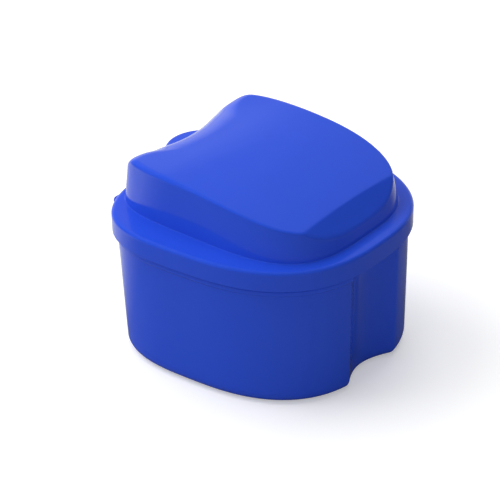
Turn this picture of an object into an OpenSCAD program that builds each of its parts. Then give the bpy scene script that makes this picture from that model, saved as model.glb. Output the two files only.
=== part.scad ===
// Denture case: a deep cup, a domed lid on a rear hinge, a strainer basket that hangs in the cup,
// and the pin of the hinge. Millimetres, +Z up, hinge at the back (+Y), finger notch at the front (-Y).
// The origin is on the surface that the case stands on, below the middle of its bounding box.

/* [Outer sizes] */
// Width of the lid's rim at the middle of the case
rim_width = 87.8; // [74:0.2:106]
// Depth from the rim's front to the back of the hinge barrel
case_depth = 92.6; // [80:0.2:112]
// Height of the closed case
case_height = 67.6; // [62:0.2:82]
// Height of the cup's top edge
cup_height = 48.4; // [42:0.1:57]

/* [Plan] */
// Growth of the case's width from its middle to the hinge
flare = 0.078; // [0:0.002:0.12]
// Squareness of the rim's front half, where 2 is an ellipse
front_square = 2.65; // [2:0.05:4]
// Squareness of the rim's hinge half
back_square = 3; // [2.4:0.1:5]

/* [Cup] */
// Thickness of the cup's wall and floor
wall = 2.4; // [1.8:0.1:2.8]
// Distance from the rim's edge in to the cup's wall
cup_inset = 1.5; // [1:0.1:2]
// Amount that the wall leans in towards the foot
cup_draft = 1; // [0:0.1:3]
// Distance that the foot lies ahead of the rim
cup_lean = 0.75; // [0:0.05:1.5]
// Radius round the cup's foot
foot_r = 4; // [2:0.5:6]
// Depth of the hollow under the foot
foot_hollow = 0.8; // [0.4:0.1:1.2]
// Width of the ring that the cup stands on
foot_ring = 2.4; // [1.6:0.2:4]
// Thickness of the neck that the lid's skirt covers
neck_wall = 1.2; // [1:0.1:1.4]
// Distance from the cup's top edge down to the ledge that carries the basket
ledge_depth = 8.6; // [8:0.1:10]
// Width of the ledge
ledge_width = 1.2; // [1:0.1:1.6]
// Height of the bead under the skirt
bead_height = 1.6; // [1:0.1:3]
// Amount that the bead stands out from the wall
bead_proud = 0.5; // [0.2:0.1:0.8]
// Half the width of the finger notch
notch_half = 12.5; // [8:0.5:16]
// Depth of the finger notch
notch_depth = 5; // [3:0.5:7]

/* [Lid] */
// Thickness of the lid
lid_wall = 1.8; // [1.4:0.1:2.2]
// Height of the skirt round the lid
skirt_height = 7; // [6:0.1:8.4]
// Radius along the rim's top edge
rim_r = 1.2; // [0.6:0.1:1.6]
// Width of the flat rim at each side of the dome
side_shelf = 9.8; // [7:0.1:12]
// Width of the flat rim in front of the dome
front_shelf = 6.3; // [6:0.1:10]
// Width of the flat rim behind the dome's horns
back_shelf = 2.2; // [2.2:0.1:6]
// Squareness of the dome's front
dome_front_square = 3.3; // [2.4:0.1:5]
// Squareness of the dome's back, which sets how sharp the two horns are
dome_back_square = 4.4; // [3:0.2:8]
// Amount that the dome's wall leans in
dome_draft = 1; // [0.6:0.1:3]
// Radius along the dome's top edge at the front and the sides
dome_edge_r = 2; // [1:0.1:2.6]
// Radius along the dome's top edge at the back
dome_back_r = 10; // [4:0.5:10]
// Depth of the dome's middle below its side edges at the back, and its height above them in front
dome_sag = 1.3; // [0:0.1:1.6]
// Height of the dome's front edge above the flat rim
brow_height = 3.6; // [3.5:0.1:7]
// Distance behind the middle at which the dome begins to fall towards the front
crown_y = 5.7; // [2:0.1:20]
// Half the width of the hollow at the back of the dome
bay_half = 21.5; // [20:0.5:30]
// Depth of the hollow at the back of the dome
bay_depth = 5.2; // [4:0.1:9]
// Radius of the half-round step in the hollow
step_r = 12.5; // [10:0.5:13]
// Distance that the step stands out of the hollow
step_out = 3; // [2:0.1:6]
// Height of the step above the flat rim
step_height = 10.4; // [7:0.1:11]

/* [Hinge] */
// Radius of the knuckles
knuckle_r = 2.2; // [2:0.1:2.6]
// Radius of the hinge pin
pin_r = 1; // [0.8:0.05:1.2]
// Distance from the rim's back edge to the pin
hinge_reach = 0.9; // [0.8:0.1:2]
// Height of the pin above the skirt's lower edge
hinge_rise = 0.5; // [0.4:0.1:1]
// Half the length of the whole hinge
hinge_half = 23; // [20:0.5:26]
// Length of each outer knuckle
end_knuckle = 7; // [5:0.5:8]
// Half the length of the middle knuckle
mid_knuckle = 5; // [3:0.5:6]

/* [Basket] */
// Height of the space for liquid between the cup's floor and the basket
well_depth = 6.6; // [4:0.2:10]
// Thickness of the basket
basket_wall = 1.4; // [1.2:0.1:1.8]
// Amount that the basket's wall leans in
basket_draft = 3; // [1:0.1:5]
// Radius round the basket's floor
basket_r = 6; // [3:0.5:7]
// Width of the drain slots
slot_w = 3; // [2:0.1:3.6]
// Height of the slots in the basket's wall
slot_h = 14; // [8:0.5:16]
// Number of slots round the basket's wall
wall_slots = 28; // [14:2:32]
// Distance between the rows of slots in the floor
floor_pitch = 7; // [6:0.5:8]
// Half the width of the lift tab
tab_half = 6; // [5:0.5:7]
// Height of the lift tab above the basket's rim
tab_height = 8.6; // [7.6:0.1:9.4]

/* [Fits] */
// Clearance between the lid's skirt and the cup's neck
skirt_gap = 0.4; // [0.3:0.05:0.6]
// Gap between faces that rest on each other
seat_gap = 0.3; // [0.1:0.05:0.5]
// Clearance round the basket
basket_gap = 1; // [0.6:0.1:1.6]
// Gap between neighbouring knuckles
knuckle_gap = 0.4; // [0.3:0.05:0.6]
// Radial clearance of the pin
pin_gap = 0.05; // [0.02:0.01:0.1]

/* [Hidden] */
blue = [0.16, 0.30, 0.80];
white = [0.93, 0.93, 0.92];

// Directions of the points round each outline, closer together at the front and the back
steps = 108;
crowding = 14;
angles = [for (i = [0 : steps - 1]) let (u = 360 * i / steps) u + crowding * sin(2 * u)];
// Directions of the points round a rounded edge, and round the dome's top edge
round_steps = 3;
quarter = [for (i = [0 : round_steps]) 90 * i / round_steps];
backward = [for (i = [round_steps : -1 : 0]) quarter[i]];
dome_steps = 5;
dome_quarter = [for (i = [0 : dome_steps]) 90 * i / dome_steps];

// Heights
lid_under = cup_height + seat_gap;
rim_top = lid_under + lid_wall;
skirt_low = rim_top - skirt_height;
dome_height = case_height - rim_top;
bead_top = skirt_low - skirt_gap;
ledge_z = cup_height - ledge_depth;
hinge_z = skirt_low + hinge_rise;

// Distances from the middle
half_width = rim_width / 2;
rim_front = case_depth / 2;
hinge_y = case_depth / 2 - knuckle_r;
rim_back = hinge_y - hinge_reach;

// Insets from the rim's edge
neck_out = lid_wall + skirt_gap;
neck_in = neck_out + neck_wall;
wall_in = cup_inset + wall;
ledge_in = max(neck_in + ledge_width, wall_in + 0.1);

// Distance to a squared-off ellipse in the direction a, with its own squareness in front and behind
function squared(a, w, front, back, front_n, back_n) =
    let (length = sin(a) < 0 ? front : back, n = sin(a) < 0 ? front_n : back_n)
    pow(pow(abs(cos(a)) / w, n) + pow(abs(sin(a)) / length, n), -1 / n);

// Depth of the finger notch at x, with softly rounded edges
edge_soft = 0.4;
function notch(x) =
    let (d = notch_depth * (1 - pow(x / notch_half, 2)))
    (d + sqrt(d * d + edge_soft * edge_soft)) / 2;

// Outline of the case, inset from the rim's edge, with the share of the finger notch's depth
function plan(inset, notched = 0) = [
    for (a = angles)
    let (r = squared(a, half_width - inset, rim_front - inset, rim_back - inset, front_square, back_square),
         y = r * sin(a),
         x = r * cos(a) * (1 + flare * y / half_width))
    [x, y + (y < 0 ? notched * notch(x) : 0)]
];

// Outline of the dome, inset from its foot, with the hollow between its two horns
dome_w = half_width - side_shelf;
dome_front = rim_front - front_shelf;
dome_back = rim_back - back_shelf;
function bay(x) = bay_depth * max(0, 1 - pow(x / bay_half, 2));
function dome_point(a, inset) =
    let (r = squared(a, dome_w - inset, dome_front - inset, dome_back - inset,
                     dome_front_square, dome_back_square),
         x = r * cos(a),
         y = r * sin(a))
    [x, y > 0 ? y - bay(x) * pow(y / (dome_back - inset), 2) : y];
function dome_plan(inset) = [for (a = angles) dome_point(a, inset)];

// Height of the dome above the flat rim: level at the back, and falling in an arc to the brow
brow_y = dome_draft - dome_front;
fall_power = 1.45;
fall = (crown_y - brow_y) / pow(1 - pow(brow_height / dome_height, 2), 1 / fall_power);
crest_w = dome_w - dome_draft - dome_edge_r;
function dome_top(x, y) =
    dome_height * sqrt(1 - pow(max(0, crown_y - y) / fall, fall_power))
    - dome_sag * y / dome_back * max(0, 1 - pow(x / crest_w, 2));

// Radius of the top edge in the direction a, which grows to the back's radius at the horns
horn_from = 0.62;
horn_to = 0.87;
function edge_r(a) =
    let (t = min(1, max(0, (sin(a) - horn_from) / (horn_to - horn_from))))
    dome_edge_r + (dome_back_r - dome_edge_r) * t * t * (3 - 2 * t);

// The foot lies ahead of the rim, so the rings of the cup and the basket move forward with their depth
function ring(outline, z) =
    let (ahead = cup_lean * max(0, 1 - z / bead_top)) [for (p = outline) [p.x, p.y - ahead, z]];

// Least radius of the dome's edge on the inside of the lid
smallest_r = 0.2;
// Ring round the dome's top edge at the angle b, for the outside or for the inside of the lid
function edge_ring(b, thick) = [
    for (a = angles)
    let (r = max(smallest_r, edge_r(a) - thick),
         p = dome_point(a, dome_draft + thick + r * (1 - cos(b))))
    [p.x, p.y, rim_top + dome_top(p.x, p.y) - thick - r * (1 - sin(b))]
];
// Ring on the dome's top, as a share of its outline inside the rounded edge
function crest_ring(share, thick) = [
    for (a = angles)
    let (p = share * dome_point(a, dome_draft + max(thick + smallest_r, edge_r(a))))
    [p.x, p.y, rim_top + dome_top(p.x, p.y) - thick]
];

// Closed skin through a list of rings, from the middle point at its start to the one at its end
module skin(start, rings, end) {
    n = len(rings[0]);
    m = len(rings);
    last = n * m + 1;
    polyhedron(
        points = concat([start], [for (r = rings) each r], [end]),
        faces = concat(
            [for (j = [0 : n - 1]) [0, 1 + j, 1 + (j + 1) % n]],
            [for (i = [0 : m - 2]) for (j = [0 : n - 1])
                let (a = 1 + i * n + j, b = 1 + i * n + (j + 1) % n)
                each [[a, a + n, b + n], [a, b + n, b]]],
            [for (j = [0 : n - 1]) [last, last - n + (j + 1) % n, last - n + j]]
        )
    );
}

// Cylinder along X at the hinge line
module at_hinge(r, x0, x1) {
    translate([x0, hinge_y, hinge_z]) rotate([0, 90, 0]) cylinder(r = r, h = x1 - x0, $fn = 48);
}

// Plate with its outline in the YZ plane, from x0 to x1
module plate(outline, x0, x1) {
    translate([x0, 0, 0]) rotate([90, 0, 90]) linear_extrude(x1 - x0) polygon(outline);
}

// The cup's knuckles, as [from, to] along X: two at the ends and one in the middle
cup_knuckles = [
    [-hinge_half, -hinge_half + end_knuckle],
    [-mid_knuckle, mid_knuckle],
    [hinge_half - end_knuckle, hinge_half]
];
// The lid's knuckles fill the places between them
lid_knuckles = [
    [-hinge_half + end_knuckle + knuckle_gap, -mid_knuckle - knuckle_gap],
    [mid_knuckle + knuckle_gap, hinge_half - end_knuckle - knuckle_gap]
];
// The pin goes in from the right, up to the closed end of the left knuckle
pin_stop = -hinge_half + 1.5;
pin_end = hinge_half - 0.4;

// Clearance in the bead beside the ends of the lid's knuckles
relief_gap = knuckle_gap * 0.75;
// Height of the cup's webs below the hinge line and above it
web_height = 9;
web_rise = 0.8;
// Height of the slanted edges on the bead and on the neck's top
slope = 0.5;
// Height of the ledge's upright edge
ledge_height = 1;

module cup() {
    foot = cup_inset + cup_draft;
    floor_in = wall_in + cup_draft;
    floor_r = foot_r - 1;
    ring_out = foot + foot_r;
    ring_in = ring_out + foot_ring;
    bead_in = cup_inset - bead_proud;
    web_root = rim_back - wall_in - 1;
    web_low = hinge_z - web_height;
    web_top = hinge_z + web_rise;
    web = [
        [web_root, web_low],
        [hinge_y + knuckle_r * 0.5, hinge_z - knuckle_r * 0.8],
        [hinge_y, hinge_z + knuckle_r],
        [rim_back - neck_out, web_top],
        [web_root, web_top]
    ];
    color(blue) difference() {
        union() {
            skin(
                [0, 0, foot_hollow],
                concat(
                    [ring(plan(ring_in + foot_hollow, 1), foot_hollow), ring(plan(ring_in, 1), 0)],
                    [for (b = quarter) ring(plan(foot + foot_r * (1 - sin(b)), 1), foot_r * (1 - cos(b)))],
                    [ring(plan(cup_inset, 1), bead_top - bead_height - slope)],
                    [ring(plan(bead_in, 1), bead_top - bead_height)],
                    [ring(plan(bead_in, 1), bead_top)],
                    [ring(plan(neck_out), bead_top + slope / 2)],
                    [ring(plan(neck_out), cup_height - slope)],
                    [ring(plan(neck_out + slope / 2), cup_height)]
                ),
                [0, 0, cup_height]
            );
            for (k = cup_knuckles) {
                at_hinge(knuckle_r, k[0], k[1]);
                plate(web, k[0], k[1]);
            }
        }
        // the inside, which narrows at the ledge and clears the notch below the neck
        skin(
            [0, 0, foot_hollow + wall],
            concat(
                [for (b = quarter)
                    ring(plan(floor_in + floor_r * (1 - sin(b)), 1),
                         foot_hollow + wall + floor_r * (1 - cos(b)))],
                [ring(plan(wall_in, 1), ledge_z - ledge_height - (ledge_in - wall_in))],
                [ring(plan(ledge_in, 1), ledge_z - ledge_height)],
                [ring(plan(ledge_in, 1), ledge_z)],
                [ring(plan(neck_in, 1), ledge_z)],
                [ring(plan(neck_in, 1), bead_top + neck_wall)],
                [ring(plan(neck_in), bead_top + 2 * neck_wall)],
                [ring(plan(neck_in), cup_height + 1)]
            ),
            [0, 0, cup_height + 1]
        );
        at_hinge(pin_r + pin_gap, pin_stop, hinge_half + 1);
        // room for the lid's knuckles behind the bead
        for (k = lid_knuckles)
            at_hinge(knuckle_r + skirt_gap, k[0] - relief_gap, k[1] + relief_gap);
    }
}

module lid() {
    step_top = rim_top + step_height;
    step_y = dome_back - bay_depth + step_out - step_r;
    shares = [0.85, 0.7, 0.5, 0.25];
    blend = 0.8;
    root_y = rim_back - lid_wall - 1;
    window_depth = 8;
    web = [
        [root_y, skirt_low],
        [rim_back - lid_wall / 2, skirt_low],
        [hinge_y, hinge_z - knuckle_r],
        [hinge_y, hinge_z + knuckle_r],
        [rim_back - lid_wall / 2, rim_top - rim_r],
        [root_y, rim_top - rim_r]
    ];
    color(blue) difference() {
        union() {
            skin(
                [0, 0, skirt_low],
                concat(
                    [ring(plan(0), skirt_low)],
                    [for (b = backward) ring(plan(rim_r * (1 - sin(b))), rim_top - rim_r * (1 - cos(b)))],
                    [ring(dome_plan(-blend), rim_top)],
                    [ring(dome_plan(0), rim_top + blend)],
                    [for (b = dome_quarter) edge_ring(b, 0)],
                    [for (s = shares) crest_ring(s, 0)]
                ),
                [0, 0, rim_top + dome_top(0, 0)]
            );
            // half-round step in the hollow of the dome's back
            intersection() {
                translate([0, step_y, lid_under]) cylinder(r = step_r, h = step_top - lid_under, $fn = 96);
                translate([-step_r, step_y, 0]) cube([2 * step_r, step_r, case_height]);
            }
            for (k = lid_knuckles) {
                at_hinge(knuckle_r, k[0], k[1]);
                plate(web, k[0], k[1]);
            }
        }
        // the inside of the skirt and of the dome
        skin(
            [0, 0, skirt_low - 1],
            concat(
                [ring(plan(lid_wall), skirt_low - 1)],
                [ring(plan(lid_wall), lid_under)],
                [ring(dome_plan(lid_wall), lid_under)],
                [for (b = dome_quarter) edge_ring(b, lid_wall)],
                [for (s = shares) crest_ring(s, lid_wall)]
            ),
            [0, 0, rim_top + dome_top(0, 0) - lid_wall]
        );
        // the step is as hollow as the dome
        translate([0, step_y, lid_under - 1])
            cylinder(r = step_r - lid_wall, h = step_height + 1, $fn = 96);
        // windows in the skirt for the cup's knuckles
        for (k = cup_knuckles)
            translate([k[0] - knuckle_gap, rim_back - window_depth, skirt_low - 1])
                cube([k[1] - k[0] + 2 * knuckle_gap, window_depth + hinge_reach,
                      lid_under - skirt_low + 1]);
        at_hinge(pin_r + pin_gap, lid_knuckles[0][0] - 1, lid_knuckles[1][1] + 1);
    }
}

module basket() {
    lip_z = ledge_z + seat_gap;
    rim_z = lip_z + basket_wall;
    lip_in = neck_in + skirt_gap;
    body_in = ledge_in + basket_gap;
    foot_in = body_in + basket_draft;
    floor_z = foot_hollow + wall + well_depth;
    inner_r = basket_r - basket_wall;
    slot_z = (floor_z + basket_r + lip_z - slot_h) / 2;
    tab_y = -rim_front + body_in + notch_depth + basket_wall / 2;
    floor_edge = 2;
    bar = 4;
    span = (2 * (half_width - foot_in - basket_r - floor_edge) - 2 * bar) / 3;
    color(white) difference() {
        union() {
            skin(
                [0, 0, floor_z],
                concat(
                    [for (b = quarter)
                        ring(plan(foot_in + basket_r * (1 - sin(b)), 1),
                             floor_z + basket_r * (1 - cos(b)))],
                    [ring(plan(body_in, 1), lip_z)],
                    [ring(plan(lip_in, 1), lip_z)],
                    [ring(plan(lip_in, 1), rim_z)],
                    [ring(plan(body_in + basket_wall, 1), rim_z)],
                    [for (b = quarter)
                        ring(plan(foot_in + basket_wall + inner_r * (1 - cos(b)), 1),
                             floor_z + basket_wall + inner_r * (1 - sin(b)))]
                ),
                [0, 0, floor_z + basket_wall]
            );
            // lift tab that stands on the rim above the finger notch
            translate([0, tab_y, lip_z]) rotate([90, 0, 0]) linear_extrude(basket_wall) {
                translate([-tab_half, 0]) square([2 * tab_half, tab_height - tab_half + basket_wall]);
                translate([0, tab_height - tab_half + basket_wall]) circle(r = tab_half, $fn = 48);
            }
        }
        // slots round the wall
        for (i = [0 : wall_slots - 1])
            rotate([0, 0, 360 * (i + 0.5) / wall_slots])
                translate([half_width / 2, -slot_w / 2, slot_z])
                    cube([half_width, slot_w, slot_h]);
        // slots through the floor, in rows from side to side
        for (row = [-3 : 3])
            for (column = [-1 : 1])
                if (abs(row) < 3 || column == 0)
                    translate([column * (span + bar), row * floor_pitch, floor_z])
                        cube([span, slot_w, 3 * basket_wall], center = true);
    }
}

module hinge_pin() {
    color("silver") at_hinge(pin_r, pin_stop + 0.2, pin_end);
}

cup();
lid();
basket();
hinge_pin();
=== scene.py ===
import bpy
import numpy as np
from mathutils import Matrix, Vector


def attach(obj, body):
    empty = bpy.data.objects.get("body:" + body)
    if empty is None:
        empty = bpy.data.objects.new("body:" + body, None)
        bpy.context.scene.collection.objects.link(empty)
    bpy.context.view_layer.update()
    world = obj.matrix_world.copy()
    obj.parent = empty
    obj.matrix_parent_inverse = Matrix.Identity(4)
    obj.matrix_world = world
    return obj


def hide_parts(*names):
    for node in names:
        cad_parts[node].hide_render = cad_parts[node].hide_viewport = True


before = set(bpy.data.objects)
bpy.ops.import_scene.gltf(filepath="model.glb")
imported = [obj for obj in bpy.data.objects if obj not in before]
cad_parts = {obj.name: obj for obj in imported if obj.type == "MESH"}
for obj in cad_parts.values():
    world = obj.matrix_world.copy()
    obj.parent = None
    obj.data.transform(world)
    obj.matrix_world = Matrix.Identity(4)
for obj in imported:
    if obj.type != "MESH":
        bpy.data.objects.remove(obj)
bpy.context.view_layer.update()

# Cup: the deep body that holds the liquid, moulded in one piece from glossy blue polypropylene.
# Its 2.4 mm wall carries the finger notch, the bead below the lid's skirt, the thin neck inside
# that skirt, the ledge for the basket, and three hinge knuckles on webs at the back.
rim_half, rim_front, rim_back = 43.9, 46.3, 43.2
hinge_y, hinge_z = 44.1, 44.0
knuckle_r, bore_r, knuckle_gap, crisp = 2.2, 1.05, 0.4, 0.01
cup_knuckles = [(-23, -16), (-5, 5), (16, 23)]
lid_knuckles = [(-15.6, -5.4), (5.4, 15.6)]
# Directions of the points round every outline, closer together at the front and the back
crowding = np.radians(14)
turn = np.linspace(0, 2 * np.pi, 360, endpoint=False)
direction = turn + crowding * np.sin(2 * turn)


def squared_off(half_width, front, back, front_n, back_n):
    """Distance in each direction to an ellipse, squared off by its own amount in front and behind."""
    across, along = np.cos(direction), np.sin(direction)
    length = np.where(along < 0, front, back)
    n = np.where(along < 0, front_n, back_n)
    return (np.abs(across / half_width) ** n + np.abs(along / length) ** n) ** (-1 / n)


def case_outline(inset, notched=0.0):
    """Outline of the case in millimetres, inset from the rim's edge, with a share of the finger notch."""
    front_n, back_n, flare = 2.65, 3.0, 0.078
    notch_half, notch_depth, notch_edge = 12.5, 5, 0.03
    r = squared_off(rim_half - inset, rim_front - inset, rim_back - inset, front_n, back_n)
    x, y = r * np.cos(direction), r * np.sin(direction)
    x = x * (1 + flare * y / rim_half)
    deep = notch_depth * (1 - (x / notch_half) ** 2)
    return x, y + np.where(y < 0, notched * (deep + np.sqrt(deep * deep + notch_edge)) / 2, 0)


def ring(outline, z):
    """The outline at a height. The foot lies a little ahead of the bead, so what is lower moves forward."""
    lead, bead_top = 0.75, 43.1
    x, y = outline
    ahead = lead * np.maximum(0, 1 - z / bead_top)
    return np.column_stack([x, y - ahead, np.broadcast_to(z, x.shape)])


def eased(corners, steps=5):
    """A profile through corners (numbers..., radius), with each corner rounded to its radius, as far as
    the flats beside it leave room, and those flats held flat by a close point."""
    points = [np.array(c[:-1], float) for c in corners]
    radii = [c[-1] for c in corners[1:]]
    out = [points[0]]
    for before, here, after, radius in zip(points, points[1:], points[2:], radii):
        u, v = before - here, after - here
        lu, lv = np.linalg.norm(u), np.linalg.norm(v)
        u, v = u / lu, v / lv
        half = np.arccos(np.clip(u @ v, -1, 1)) / 2
        reach = min(radius / np.tan(half), 0.45 * lu, 0.45 * lv)
        if radius == 0 or reach < 1e-3:
            out.append(here)
            continue
        middle = here + (u + v) / np.linalg.norm(u + v) * (reach / np.cos(half))
        start, end = here + u * reach - middle, here + v * reach - middle
        swing = np.arccos(np.clip(start @ end / (start @ start), -1, 1))
        out.append(here + u * min(reach * 1.25, 0.48 * lu))
        for t in np.linspace(0, 1, steps + 1):
            arc = np.sin((1 - t) * swing) * start + np.sin(t * swing) * end
            out.append(middle + arc / np.sin(swing))
        out.append(here + v * min(reach * 1.25, 0.48 * lv))
    out.append(points[-1])
    return out


def between(a, b, count):
    """Points spaced evenly from a to b, without a and b themselves."""
    return [a + (b - a) * t for t in np.linspace(0, 1, count + 2)[1:-1]]


def rounded(inset, z, radius, count):
    """Quarter round of a profile, from the flat at height z into the wall, over the notch as well."""
    return [np.array([inset + radius * (1 - np.sin(b)), z + radius * (1 - np.cos(b)), 1])
            for b in np.linspace(0, np.pi / 2, count)]


def closed_skin(name, start, rings, end):
    """Mesh object in metres through rings of points in millimetres, closed by a middle point at each end."""
    n, m = len(rings[0]), len(rings)
    points = np.vstack([[start], *rings, [end]]) * 0.001
    j = np.arange(n)
    k = (j + 1) % n
    faces = [(0, 1 + b, 1 + a) for a, b in zip(j, k)]
    for i in range(m - 1):
        low, high = 1 + i * n, 1 + (i + 1) * n
        faces += [(low + a, low + b, high + b, high + a) for a, b in zip(j, k)]
    last = 1 + (m - 1) * n
    faces += [(n * m + 1, last + a, last + b) for a, b in zip(j, k)]
    mesh = bpy.data.meshes.new(name)
    mesh.from_pydata(points.tolist(), [], [tuple(int(v) for v in f) for f in faces])
    made = bpy.data.objects.new(name, mesh)
    bpy.context.scene.collection.objects.link(made)
    return made


def barrel(name, radius, x0, x1, chamfer=0.3):
    """Solid cylinder along the hinge line, in millimetres, with eased ends."""
    around = np.linspace(0, 2 * np.pi, 64, endpoint=False)
    ease = chamfer * 0.3

    def loop(r, x):
        y, z = hinge_y + r * np.cos(around), hinge_z + r * np.sin(around)
        return np.column_stack([np.full(len(around), x), y, z])

    rings = [loop(radius - chamfer, x0), loop(radius - ease, x0 + ease), loop(radius, x0 + chamfer)]
    rings += [loop(radius, x1 - chamfer), loop(radius - ease, x1 - ease), loop(radius - chamfer, x1)]
    return closed_skin(name, (x0, hinge_y, hinge_z), rings, (x1, hinge_y, hinge_z))


def plate(name, outline, x0, x1):
    """Flat web with its outline in the YZ plane, in millimetres."""
    rings = [np.array([(x, y, z) for y, z in outline], float) for x in (x0, x1)]
    middle = rings[0].mean(0)
    return closed_skin(name, (x0, *middle[1:]), rings, (x1, *middle[1:]))


def knuckle_solids(spans, web):
    """Barrels over the given spans of the hinge line, and the webs that carry them."""
    barrels = [barrel("knuckle", knuckle_r, *span) for span in spans]
    return barrels + [plate("web", web, *span) for span in spans]


def shade(mesh):
    """Shades the mesh smooth between its sharp edges."""
    mesh.shade_smooth()
    mesh.set_sharp_from_angle(angle=np.radians(35))


def carved(body, add=(), cut=()):
    """Joins solids to the body and takes others away from it, and leaves it as one plain mesh."""
    for tool, how in [(t, "UNION") for t in add] + [(t, "DIFFERENCE") for t in cut]:
        step = body.modifiers.new(how, "BOOLEAN")
        step.operation, step.object, step.solver = how, tool, "MANIFOLD"
    depsgraph = bpy.context.evaluated_depsgraph_get()
    mesh = bpy.data.meshes.new_from_object(body.evaluated_get(depsgraph))
    body.modifiers.clear()
    body.data = mesh
    mesh.name = body.name
    mesh.materials.clear()
    for tool in [*add, *cut]:
        bpy.data.objects.remove(tool)
    shade(mesh)


# Outside, from the hollow under the foot to the neck, as inset, height, share of the notch and radius
foot_hollow, wall_top, cup_height = 0.8, 40.9, 48.4
foot = [(9.7, foot_hollow, 1, 0), (8.9, 0, 1, 0.3), (6.5, 0, 1, 0)]
toe = rounded(inset=2.5, z=0, radius=4, count=13)
wall = between(toe[-1], np.array([1.5, wall_top, 1]), 9)
top = eased([(1.52, 40.0, 1, 0), (1.5, 41.0, 1, 0.3), (1.0, 41.5, 1, 0.35), (1.0, 42.9, 1, 0.4),
             (2.2, 43.3, 0, 0.1), (2.2, cup_height, 0, 0.3), (3.4, cup_height, 0, 0.3), (3.4, 46.4, 0, 0)], 4)
outside = [ring(case_outline(p[0], p[2]), p[1]) for p in eased(foot) + toe + wall + top]
cup = closed_skin("cup_shell", (0, 0, foot_hollow), outside[:-1], (0, 0, cup_height))

# Inside, from the floor up past the ledge for the basket, and on to above the cup's edge
floor_top, ledge, above_cup = 3.2, 39.8, 50
bowl = rounded(inset=4.9, z=floor_top, radius=3, count=9)
bowl += between(bowl[-1], np.array([3.92, 37.0, 1]), 7)
bowl += eased([(3.92, 37.0, 1, 0), (3.9, 38.1, 1, 0.5), (4.6, 38.8, 1, 0.3), (4.6, ledge, 1, 0.25),
               (3.4, ledge, 1, 0.2), (3.4, 44.3, 1, 0.2), (3.4, 45.5, 0, 0.2), (3.4, 47.9, 0, 0.2),
               (3.1, cup_height, 0, 0.1), (3.1, above_cup, 0, 0)], 3)
rings = [ring(case_outline(p[0], p[2]), p[1]) for p in bowl]
inside = closed_skin("cup_inside", (0, 0, floor_top), rings, (0, 0, above_cup))
cup_web = [(38.3, 35.0), (45.2, 42.24), (hinge_y, 46.2), (41.0, 44.8), (38.3, 44.8)]
bore = barrel("bore", bore_r, -21.5, 25, crisp)
relief_r, relief_gap = 2.6, 0.3
reliefs = [barrel("relief", relief_r, x0 - relief_gap, x1 + relief_gap, crisp) for x0, x1 in lid_knuckles]
carved(cup, add=knuckle_solids(cup_knuckles, cup_web), cut=[inside, bore, *reliefs])


def add_node(tree, kind, inputs, **settings):
    """New node with its settings, and each of its inputs set to a value or linked to a socket."""
    made = tree.nodes.new(kind)
    for name, value in settings.items():
        setattr(made, name, value)
    for name, value in inputs.items():
        if isinstance(value, bpy.types.NodeSocket):
            tree.links.new(value, made.inputs[name])
        else:
            made.inputs[name].default_value = value
    return made


def calc(tree, how, *values):
    """Result of a sum on sockets or numbers."""
    return add_node(tree, "ShaderNodeMath", dict(enumerate(values)), operation=how).outputs["Value"]


def mapped(tree, value, low, high, to_low, to_high):
    """The value carried from one range to another, and held at the ends of that."""
    inputs = {"Value": value, "From Min": low, "From Max": high, "To Min": to_low, "To Max": to_high}
    return add_node(tree, "ShaderNodeMapRange", inputs).outputs["Result"]


def blended(tree, share, a, b):
    """Colour that goes from a to b."""
    inputs = {"Factor": share, "A": a, "B": b}
    return add_node(tree, "ShaderNodeMix", inputs, data_type="RGBA").outputs["Result"]


def moulded_plastic():
    """Skin of an injection moulding: faintly cloudy colour of the pigment, and the uneven polish and fine
    ripple that the steel mould leaves."""
    group = bpy.data.node_groups.new("moulded_skin", "ShaderNodeTree")
    taken = {"Pigment": "Color", "Deep pigment": "Color", "Cloud size": "Float", "Polish": "Float",
             "Ripple size": "Float", "Ripple depth": "Float"}
    returned = {"Colour": "Color", "Roughness": "Float", "Normal": "Vector"}
    for side, sockets in (("INPUT", taken), ("OUTPUT", returned)):
        for name, kind in sockets.items():
            group.interface.new_socket(name, in_out=side, socket_type="NodeSocket" + kind)
    given = group.nodes.new("NodeGroupInput").outputs
    place = group.nodes.new("ShaderNodeTexCoord").outputs["Object"]

    def noise(size, detail):
        inputs = {"Vector": place, "Scale": size, "Detail": detail}
        return add_node(group, "ShaderNodeTexNoise", inputs).outputs["Fac"]

    colour = blended(group, noise(given["Cloud size"], 3), given["Deep pigment"], given["Pigment"])
    uneven = mapped(group, noise(260, 5), 0.3, 0.7, -0.03, 0.05)
    roughness = calc(group, "ADD", given["Polish"], uneven)
    raised = add_node(group, "ShaderNodeBump", {"Distance": 0.001, "Strength": given["Ripple depth"],
                                                "Height": noise(given["Ripple size"], 2)})
    add_node(group, "NodeGroupOutput", {"Colour": colour, "Roughness": roughness,
                                        "Normal": raised.outputs["Normal"]})
    return group


def plastic(name, pigment, deep, polish, ripple_size, ripple_depth):
    """Material with its own shader, and the shared skin's colour, roughness and ripple."""
    made = bpy.data.materials.new(name)
    made.use_nodes = True
    tree = made.node_tree
    shader = tree.nodes["Principled BSDF"]
    group = bpy.data.node_groups.get("moulded_skin") or moulded_plastic()
    look = {"Pigment": (*pigment, 1), "Deep pigment": (*deep, 1), "Cloud size": 60, "Polish": polish,
            "Ripple size": ripple_size, "Ripple depth": ripple_depth}
    skin = add_node(tree, "ShaderNodeGroup", look, node_tree=group)
    tree.links.new(skin.outputs["Colour"], shader.inputs["Base Color"])
    tree.links.new(skin.outputs["Roughness"], shader.inputs["Roughness"])
    tree.links.new(skin.outputs["Normal"], shader.inputs["Normal"])
    shader.inputs["IOR"].default_value = 1.49
    return made


blue = plastic("blue_polypropylene", pigment=(0.0235, 0.088, 0.72), deep=(0.021, 0.08, 0.69),
               polish=0.08, ripple_size=170, ripple_depth=0.012)
cup.data.materials.append(blue)
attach(cup, "cup")
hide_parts("cup")

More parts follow.
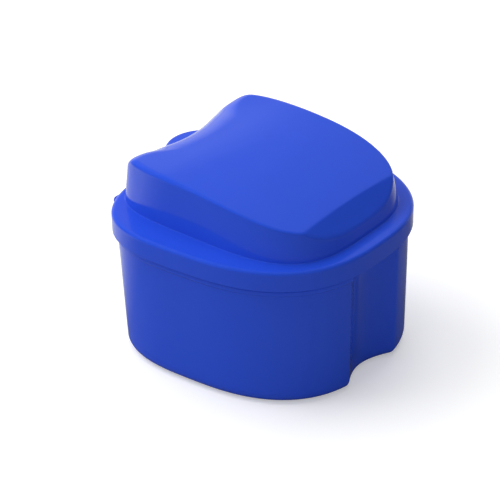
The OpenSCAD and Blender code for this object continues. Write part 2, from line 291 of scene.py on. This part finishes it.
# Basket: the strainer that hangs on the cup's ledge and lifts the denture out of the liquid.
# White polypropylene, one moulding with a lip, round-ended drain slots and a lift tab above the notch.
basket_low, basket_floor, lip_low, lip_top = 9.8, 11.2, 40.1, 41.5
profile = eased([(14.6, basket_low, 1, 0), (8.6, basket_low, 1, 6.0), (5.6, lip_low, 1, 0.3),
                 (3.8, lip_low, 1, 0.3), (3.8, lip_top, 1, 0.35), (7.0, lip_top, 1, 0.4),
                 (10.0, basket_floor, 1, 4.6), (16, basket_floor, 1, 0)], 8)
rings = [ring(case_outline(p[0], p[2]), p[1]) for p in profile]
shell = closed_skin("basket_shell", (0, 0, basket_low), rings, (0, 0, basket_floor))
tab_r, tab_low, tab_arc, tab_middle = 6, 40.3, 44.1, 44.3
arc = [(tab_r * np.cos(a), tab_arc + tab_r * np.sin(a)) for a in np.radians(np.linspace(0, 180, 25))]
tab = [(tab_r, tab_low), *arc, (-tab_r, tab_low)]
# Slices through the tab from front to back, as place and size, smaller at both faces for eased edges
slices = [(-36.4, 0.94), (-36.25, 0.985), (-36.05, 1), (-35.35, 1), (-35.15, 0.985), (-35.0, 0.94)]
rings = [np.array([(x * size, y, tab_middle + (z - tab_middle) * size) for x, z in tab])
         for y, size in slices]
lift_tab = closed_skin("lift_tab", (0, slices[0][0], tab_middle), rings[::-1], (0, slices[-1][0], tab_middle))


def drain_slots():
    """Cuts rows of round-ended slots in the wall and the floor of the basket."""
    tree = bpy.data.node_groups.new("drain_slots", "GeometryNodeTree")
    taken = {"Geometry": "Geometry", "Wall slots": "Int", "Slot width": "Float", "Slot height": "Float",
             "Slot middle": "Float", "Floor slot length": "Float", "Floor pitch": "Float",
             "Column pitch": "Float", "Floor height": "Float", "Finish": "Material"}
    for name, kind in taken.items():
        tree.interface.new_socket(name, in_out="INPUT", socket_type="NodeSocket" + kind)
    tree.interface.new_socket("Geometry", in_out="OUTPUT", socket_type="NodeSocketGeometry")
    given = tree.nodes.new("NodeGroupInput").outputs

    def upward(z):
        """Vector that has only a Z part."""
        return add_node(tree, "ShaderNodeCombineXYZ", {"Z": z}).outputs["Vector"]

    def cutter(long_side, start, end):
        """Bar with a round-ended cross-section, from start to end."""
        shape = add_node(tree, "GeometryNodeCurvePrimitiveQuadrilateral",
                         {"Width": given["Slot width"], "Height": given[long_side]})
        end_r = calc(tree, "MULTIPLY", given["Slot width"], 0.49)
        ends = add_node(tree, "GeometryNodeFilletCurve",
                        {"Curve": shape.outputs["Curve"], "Count": 5, "Radius": end_r}, mode="POLY")
        path = add_node(tree, "GeometryNodeCurvePrimitiveLine", {"Start": start, "End": end})
        bar = add_node(tree, "GeometryNodeCurveToMesh", {"Curve": path.outputs["Curve"], "Fill Caps": True,
                                                         "Profile Curve": ends.outputs["Curve"]})
        return bar.outputs["Mesh"]

    # Wall: cutters that point outwards from the middle, turned by equal steps
    count = given["Wall slots"]
    spots = add_node(tree, "GeometryNodePoints", {"Count": count, "Position": upward(given["Slot middle"])})
    index = tree.nodes.new("GeometryNodeInputIndex").outputs["Index"]
    share = calc(tree, "DIVIDE", calc(tree, "ADD", index, 0.5), count)
    around = add_node(tree, "GeometryNodeInstanceOnPoints",
                      {"Points": spots.outputs["Points"],
                       "Instance": cutter("Slot height", (0.02, 0, 0), (0.06, 0, 0)),
                       "Rotation": upward(calc(tree, "MULTIPLY", share, 2 * np.pi))})

    # Floor: three columns of seven rows, without the corners, where the outline is rounded
    grid = add_node(tree, "GeometryNodeMeshGrid",
                    {"Vertices X": 3, "Size X": calc(tree, "MULTIPLY", given["Column pitch"], 2),
                     "Vertices Y": 7, "Size Y": calc(tree, "MULTIPLY", given["Floor pitch"], 6)})
    place = tree.nodes.new("GeometryNodeInputPosition").outputs["Position"]
    apart = add_node(tree, "ShaderNodeSeparateXYZ", {"Vector": place}).outputs
    last_row = calc(tree, "MULTIPLY", given["Floor pitch"], 2.5)
    side_column = calc(tree, "MULTIPLY", given["Column pitch"], 0.5)
    far_y = calc(tree, "GREATER_THAN", calc(tree, "ABSOLUTE", apart["Y"]), last_row)
    far_x = calc(tree, "GREATER_THAN", calc(tree, "ABSOLUTE", apart["X"]), side_column)
    kept = add_node(tree, "GeometryNodeDeleteGeometry", {"Geometry": grid.outputs["Mesh"],
                                                         "Selection": calc(tree, "MULTIPLY", far_x, far_y)})
    lift = add_node(tree, "GeometryNodeTransform", {"Geometry": kept.outputs["Geometry"],
                                                    "Translation": upward(given["Floor height"])})
    rows = add_node(tree, "GeometryNodeInstanceOnPoints",
                    {"Points": lift.outputs["Geometry"],
                     "Instance": cutter("Floor slot length", (0, 0, -0.002), (0, 0, 0.003)),
                     "Rotation": (0, 0, np.pi / 2)})

    cutters = tree.nodes.new("GeometryNodeJoinGeometry")
    for part in (around, rows):
        tree.links.new(part.outputs["Instances"], cutters.inputs["Geometry"])
    solid = add_node(tree, "GeometryNodeRealizeInstances", {"Geometry": cutters.outputs["Geometry"]})
    cut = add_node(tree, "GeometryNodeMeshBoolean",
                   {"Mesh 1": given["Geometry"], "Mesh 2": solid.outputs["Geometry"]},
                   operation="DIFFERENCE", solver="MANIFOLD")
    whole = add_node(tree, "GeometryNodeRealizeInstances", {"Geometry": cut.outputs["Mesh"]})
    finish = add_node(tree, "GeometryNodeSetMaterial",
                      {"Geometry": whole.outputs["Geometry"], "Material": given["Finish"]})
    add_node(tree, "NodeGroupOutput", {"Geometry": finish.outputs["Geometry"]})
    return tree


white = plastic("white_polypropylene", pigment=(0.83, 0.83, 0.81), deep=(0.78, 0.78, 0.77),
                polish=0.3, ripple_size=260, ripple_depth=0.02)
carved(shell, add=[lift_tab])
slots = shell.modifiers.new("drain_slots", "NODES")
slots.node_group = drain_slots()
sizes = {"Wall slots": 28, "Slot width": 0.003, "Slot height": 0.014, "Slot middle": 0.02795,
         "Floor slot length": 0.01353, "Floor pitch": 0.007, "Column pitch": 0.01753,
         "Floor height": 0.0098, "Finish": white}
for socket in slots.node_group.interface.items_tree:
    if socket.in_out == "INPUT" and socket.name in sizes:
        slots[socket.identifier] = sizes[socket.name]
depsgraph = bpy.context.evaluated_depsgraph_get()
slotted = bpy.data.meshes.new_from_object(shell.evaluated_get(depsgraph))
bpy.data.objects.remove(shell)
shade(slotted)
basket = bpy.data.objects.new("strainer_basket", slotted)
bpy.context.scene.collection.objects.link(basket)
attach(basket, "basket")
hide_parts("basket")

# Hinge pin: a straight stainless pin, pushed in from the right through all the knuckles.
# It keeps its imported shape, with the fine drawn lines of wire along it.
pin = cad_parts["hinge_pin"]
steel = bpy.data.materials.new("drawn_steel")
steel.use_nodes = True
tree = steel.node_tree
place = tree.nodes.new("ShaderNodeTexCoord").outputs["Object"]
stretched = add_node(tree, "ShaderNodeMapping", {"Vector": place, "Scale": (60, 2600, 2600)})
lines = add_node(tree, "ShaderNodeTexNoise",
                 {"Vector": stretched.outputs["Vector"], "Scale": 1, "Detail": 4}).outputs["Fac"]
tone = add_node(tree, "ShaderNodeValToRGB", {"Fac": lines})
tone.color_ramp.elements[0].color = (0.42, 0.43, 0.45, 1)
tone.color_ramp.elements[1].color = (0.70, 0.71, 0.72, 1)
scratch = add_node(tree, "ShaderNodeBump", {"Distance": 0.00003, "Height": lines})
shader = tree.nodes["Principled BSDF"]
shader.inputs["Metallic"].default_value = 1
tree.links.new(tone.outputs["Color"], shader.inputs["Base Color"])
tree.links.new(mapped(tree, lines, 0, 1, 0.18, 0.4), shader.inputs["Roughness"])
tree.links.new(scratch.outputs["Normal"], shader.inputs["Normal"])
pin.data.materials.clear()
pin.data.materials.append(steel)

# Lid: a flat rim with a down-turned skirt and a high dome, moulded in one 1.8 mm piece in the same blue.
# The dome's back edge curves in between two horns, round a half-round step; two knuckles hang it on the pin.
lid_wall, skirt_low, rim_under, rim_top = 1.8, 43.5, 48.7, 50.5


def dome_outline(inset):
    """Outline of the dome, inset from its foot, with the hollow at its back."""
    half, front, back, front_n, back_n = 34.1 - inset, 40 - inset, 41 - inset, 3.3, 4.4
    bay_half, bay_depth, bay_edge = 21.5, 5.2, 0.4
    r = squared_off(half, front, back, front_n, back_n)
    x, y = r * np.cos(direction), r * np.sin(direction)
    deep = bay_depth * (1 - (x / bay_half) ** 2)
    return x, np.where(y > 0, y - (deep + np.sqrt(deep * deep + bay_edge)) / 2 * (y / back) ** 2, y)


def dome_height(outline):
    """Height of the dome above the rim: level at the back, falling in an arc to a steeper brow in front.
    Its middle sags below the side edges at the back, and stands above them in front."""
    crown, level_y, fall = 17, 18, 18.4
    bulge_front, bulge_y, bulge_loss, bulge_half = 0.75, -8, 0.0357, 32
    brow_low, brow_y, brow_slope, brow_edge = 4.5, -38.8, 0.95, 0.01
    x, y = outline
    bulge = bulge_front - bulge_loss * np.maximum(0, y - bulge_y)
    bulge = bulge * np.maximum(0, 1 - (x / bulge_half) ** 2)
    arc = crown - (np.maximum(0, level_y - y) / fall) ** 2 + bulge
    brow = brow_low + brow_slope * (y - brow_y)
    return (arc + brow) / 2 - np.sqrt(((arc - brow) / 2) ** 2 + brow_edge)


def dome_ring(outline, drop):
    """The outline laid on the top of the dome, or as far below that as drop says."""
    return ring(outline, rim_top + dome_height(outline) - drop)


def dome_skin(foot_rings, thick):
    """Rings up the dome's wall, round its top edge and in over the crown. The edge is tight at the front
    and the sides, and opens to a wide rounding at the back."""
    front_w, side_w, back_w = 0.8, 1.2, 11
    front_h, side_h, back_h = 0.6, 0.9, 8.5
    least, draft, corner_draft, brow_share, middle_share = 0.2, 1, 0.6, 0.8, 0.03
    # Share of the side's edge, which grows from the front to the back, and of the wide edge behind
    along = np.sin(direction)
    opened = np.clip(0.5 + 1.2 * along, 0, 1)
    share = np.clip((along - 0.7) / 0.2, 0, 1)
    share = share * share * (3 - 2 * share)
    width = np.maximum(front_w + side_w * opened + back_w * share - thick, least)
    height = np.maximum(front_h + side_h * opened + back_h * share - thick, least)
    lean = draft + np.where(along < 0, corner_draft * np.sin(2 * direction) ** 2, 0)
    over = []
    for b in np.linspace(0, np.pi / 2, 15):
        outline = dome_outline(lean + thick + width * (1 - np.cos(b)))
        over.append(dome_ring(outline, thick + height * (1 - np.sin(b))))
    start = foot_rings[-1]
    rings = foot_rings + [start + (over[0] - start) * t for t in np.linspace(0, 1, 8)[1:-1]] + over
    # Close rings over the brow, and wider ones from there to the middle
    x, y = dome_outline(lean + thick + width)
    brow = np.linspace(1, brow_share, 30)[1:]
    crown = np.linspace(brow_share, middle_share, 24)[1:]
    return rings + [dome_ring((x * s, y * s), thick) for s in (*brow, *crown)]


def step_block(name, radius, inner, z0, z1, edge):
    """Half-round block behind the middle of the dome, with an eased top edge."""
    arc_y, middle_y, tuck = 26.3, 28, 0.9
    rings = []
    for inset, z in eased([(0, z0, 0), (0, z1, edge), (4, z1, 0)], 6):
        r = radius - inset
        arc = [(r * np.cos(a), arc_y + r * np.sin(a), z) for a in np.linspace(0, np.pi, 73)]
        rings.append(np.array(arc + [(-r * tuck, inner, z), (r * tuck, inner, z)]))
    return closed_skin(name, (0, middle_y, z0), rings, (0, middle_y, z1))


skirt = eased([(lid_wall, skirt_low, 0), (0, skirt_low, 0.35), (0, rim_top, 1.2), (3, rim_top, 0)], 8)
foot_rings = [ring(case_outline(inset), z) for inset, z in skirt[:-1]]
dome_foot = eased([(-0.8, 0, 0), (0, 0, 0.35), (0.05, 0.8, 0)], 6)
foot_rings += [ring(dome_outline(inset), rim_top + z) for inset, z in dome_foot]
crown_middle = rim_top + dome_height((0, 0))
lid = closed_skin("lid_shell", (0, 0, skirt_low), dome_skin(foot_rings, 0), (0, 0, crown_middle))

# Inside, from below the skirt up to the foot of the dome's wall, and then under the dome
below_skirt = 42.5
under = [ring(case_outline(lid_wall), below_skirt), ring(case_outline(lid_wall), 48.4)]
under += [ring(case_outline(2.1), rim_under), ring(dome_outline(1.4), rim_under)]
under += [ring(dome_outline(lid_wall), 49.1)]
crown_under = crown_middle - lid_wall
hollow = closed_skin("lid_hollow", (0, 0, below_skirt), dome_skin(under, lid_wall), (0, 0, crown_under))
step = step_block("step", radius=12.5, inner=22, z0=rim_under, z1=60.9, edge=0.9)
step_hollow = step_block("step_hollow", radius=10.7, inner=20, z0=47.7, z1=59.1, edge=0.8)
lid_web = [(40.4, 43.5), (42.3, 43.5), (hinge_y, 41.8), (hinge_y, 46.2), (42.3, 49.3), (40.4, 49.3)]
window = [(35.2, below_skirt), (hinge_y, below_skirt), (hinge_y, rim_under), (35.2, rim_under)]
windows = [plate("window", window, x0 - knuckle_gap, x1 + knuckle_gap) for x0, x1 in cup_knuckles]
bore = barrel("bore", bore_r, -16.6, 16.6, crisp)
carved(lid, add=[step, *knuckle_solids(lid_knuckles, lid_web)], cut=[hollow, step_hollow, *windows, bore])
lid.data.materials.append(blue)
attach(lid, "lid")
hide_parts("lid")

# Floor and backdrop: a pale table that takes the case's soft shadow, and runs out to white.
# Painted reflection: as the case mirrors it, it is dim in front and brighter behind the case on the right,
# where it glows though it is no lamp; it bounces light onto the case as a darker grey than it looks.
def dot(tree, a, b):
    """Dot product of two vectors."""
    return add_node(tree, "ShaderNodeVectorMath", {0: a, 1: b}, operation="DOT_PRODUCT").outputs["Value"]


reach = 3
table = bpy.data.meshes.new("table")
table.from_pydata([(-reach, -reach, 0), (reach, -reach, 0), (reach, reach, 0), (-reach, reach, 0)],
                  [], [(0, 1, 2, 3)])
floor = bpy.data.objects.new("table", table)
bpy.context.scene.collection.objects.link(floor)
paper = bpy.data.materials.new("white_paper")
paper.use_nodes = True
tree = paper.node_tree
shader = tree.nodes["Principled BSDF"]
shader.inputs["Roughness"].default_value = 0.9
shader.inputs["Specular IOR Level"].default_value = 0
shader.inputs["Emission Color"].default_value = (1, 1, 1, 1)
rays = tree.nodes.new("ShaderNodeLightPath").outputs
place = tree.nodes.new("ShaderNodeTexCoord").outputs["Object"]
behind = dot(tree, place, (0.56, 0.9, 0))
# Painted reflection: in the case's reflections the table goes from dark grey in front to lighter grey behind
# on the right, and glows there; bounced light sees a plain mid grey
fade_from, fade_to = 0.02, 0.07
painted_reflection_grey = mapped(tree, behind, fade_from, fade_to, 0.2, 0.45)
painted_reflection_glow = mapped(tree, behind, fade_from, fade_to, 0, 0.35)
mirrored = blended(tree, rays["Is Glossy Ray"], (0.5, 0.5, 0.5, 1), painted_reflection_grey)
colour = blended(tree, rays["Is Camera Ray"], mirrored, (0.82, 0.82, 0.82, 1))
tree.links.new(colour, shader.inputs["Base Color"])
# The camera sees the table evenly white; only its reflections in the case get the painted glow behind on the
# right
seen = calc(tree, "MULTIPLY", rays["Is Camera Ray"], 0.36)
shown = calc(tree, "MULTIPLY_ADD", rays["Is Glossy Ray"], painted_reflection_glow, seen)
tree.links.new(shown, shader.inputs["Emission Strength"])
table.materials.append(paper)

# Light: five soft lamps round the case, none of them mirrored in it, and a plain room. The camera sees
# the room white; to the case it is dim, and brighter behind it on the right, most of all low down.
world = bpy.data.worlds.new("studio")
bpy.context.scene.world = world
world.use_nodes = True
tree = world.node_tree
tree.nodes.clear()
rays = tree.nodes.new("ShaderNodeLightPath").outputs
gaze = tree.nodes.new("ShaderNodeTexCoord").outputs["Generated"]
wall_light = mapped(tree, dot(tree, gaze, (0.78, 0.63, 0)), 0.44, 0.5, 0.07, 0.28)
low_light = mapped(tree, dot(tree, gaze, (0.78, 0.63, -0.6)), 0.55, 0.8, 0, 0.5)
room = add_node(tree, "ShaderNodeBackground",
                {"Color": (1, 1, 1, 1), "Strength": calc(tree, "ADD", wall_light, low_light)})
backdrop = add_node(tree, "ShaderNodeBackground", {"Color": (1, 1, 1, 1), "Strength": 1})
pick = add_node(tree, "ShaderNodeMixShader", {"Fac": rays["Is Camera Ray"], 1: room.outputs["Background"],
                                              2: backdrop.outputs["Background"]})
add_node(tree, "ShaderNodeOutputWorld", {"Surface": pick.outputs["Shader"]})


def lamp(name, power, size, place):
    """Square soft lamp, turned towards the case. It lights the case without a reflection of its own in it."""
    data = bpy.data.lights.new(name, "AREA")
    data.energy, data.size = power, size
    made = bpy.data.objects.new(name, data)
    bpy.context.scene.collection.objects.link(made)
    made.location = place
    made.rotation_euler = (Vector((0, 0, 0.03)) - Vector(place)).to_track_quat("-Z", "Y").to_euler()
    made.visible_glossy = False


lamp("key_lamp", power=10, size=1.0, place=(-0.32, 0.72, 0.75))
lamp("top_lamp", power=3.2, size=0.8, place=(0.0, 0.0, 1.1))
lamp("left_lamp", power=2.3, size=0.8, place=(-1.0, 0.2, 0.35))
lamp("right_lamp", power=4.4, size=1.1, place=(0.75, 0.45, 0.8))
lamp("front_fill", power=2.4, size=0.9, place=(-0.4, -0.95, 0.4))

# Camera: at the photograph's place, with its long lens.
view = bpy.data.cameras.new("camera")
view.sensor_width, view.lens = 36, 152.73
view.clip_start, view.clip_end = 0.05, 20
camera = bpy.data.objects.new("camera", view)
bpy.context.scene.collection.objects.link(camera)
roll = np.radians(-0.906)
place, aim = Vector((-0.468379, -0.375026, 0.389793)), Vector((-0.002849, 0.004657, 0.030456))
facing = (aim - place).to_track_quat("-Z", "Y").to_matrix() @ Matrix.Rotation(roll, 3, "Z")
camera.matrix_world = Matrix.Translation(place) @ facing.to_4x4()
bpy.context.scene.camera = camera
bpy.context.scene.view_settings.view_transform = "Standard"
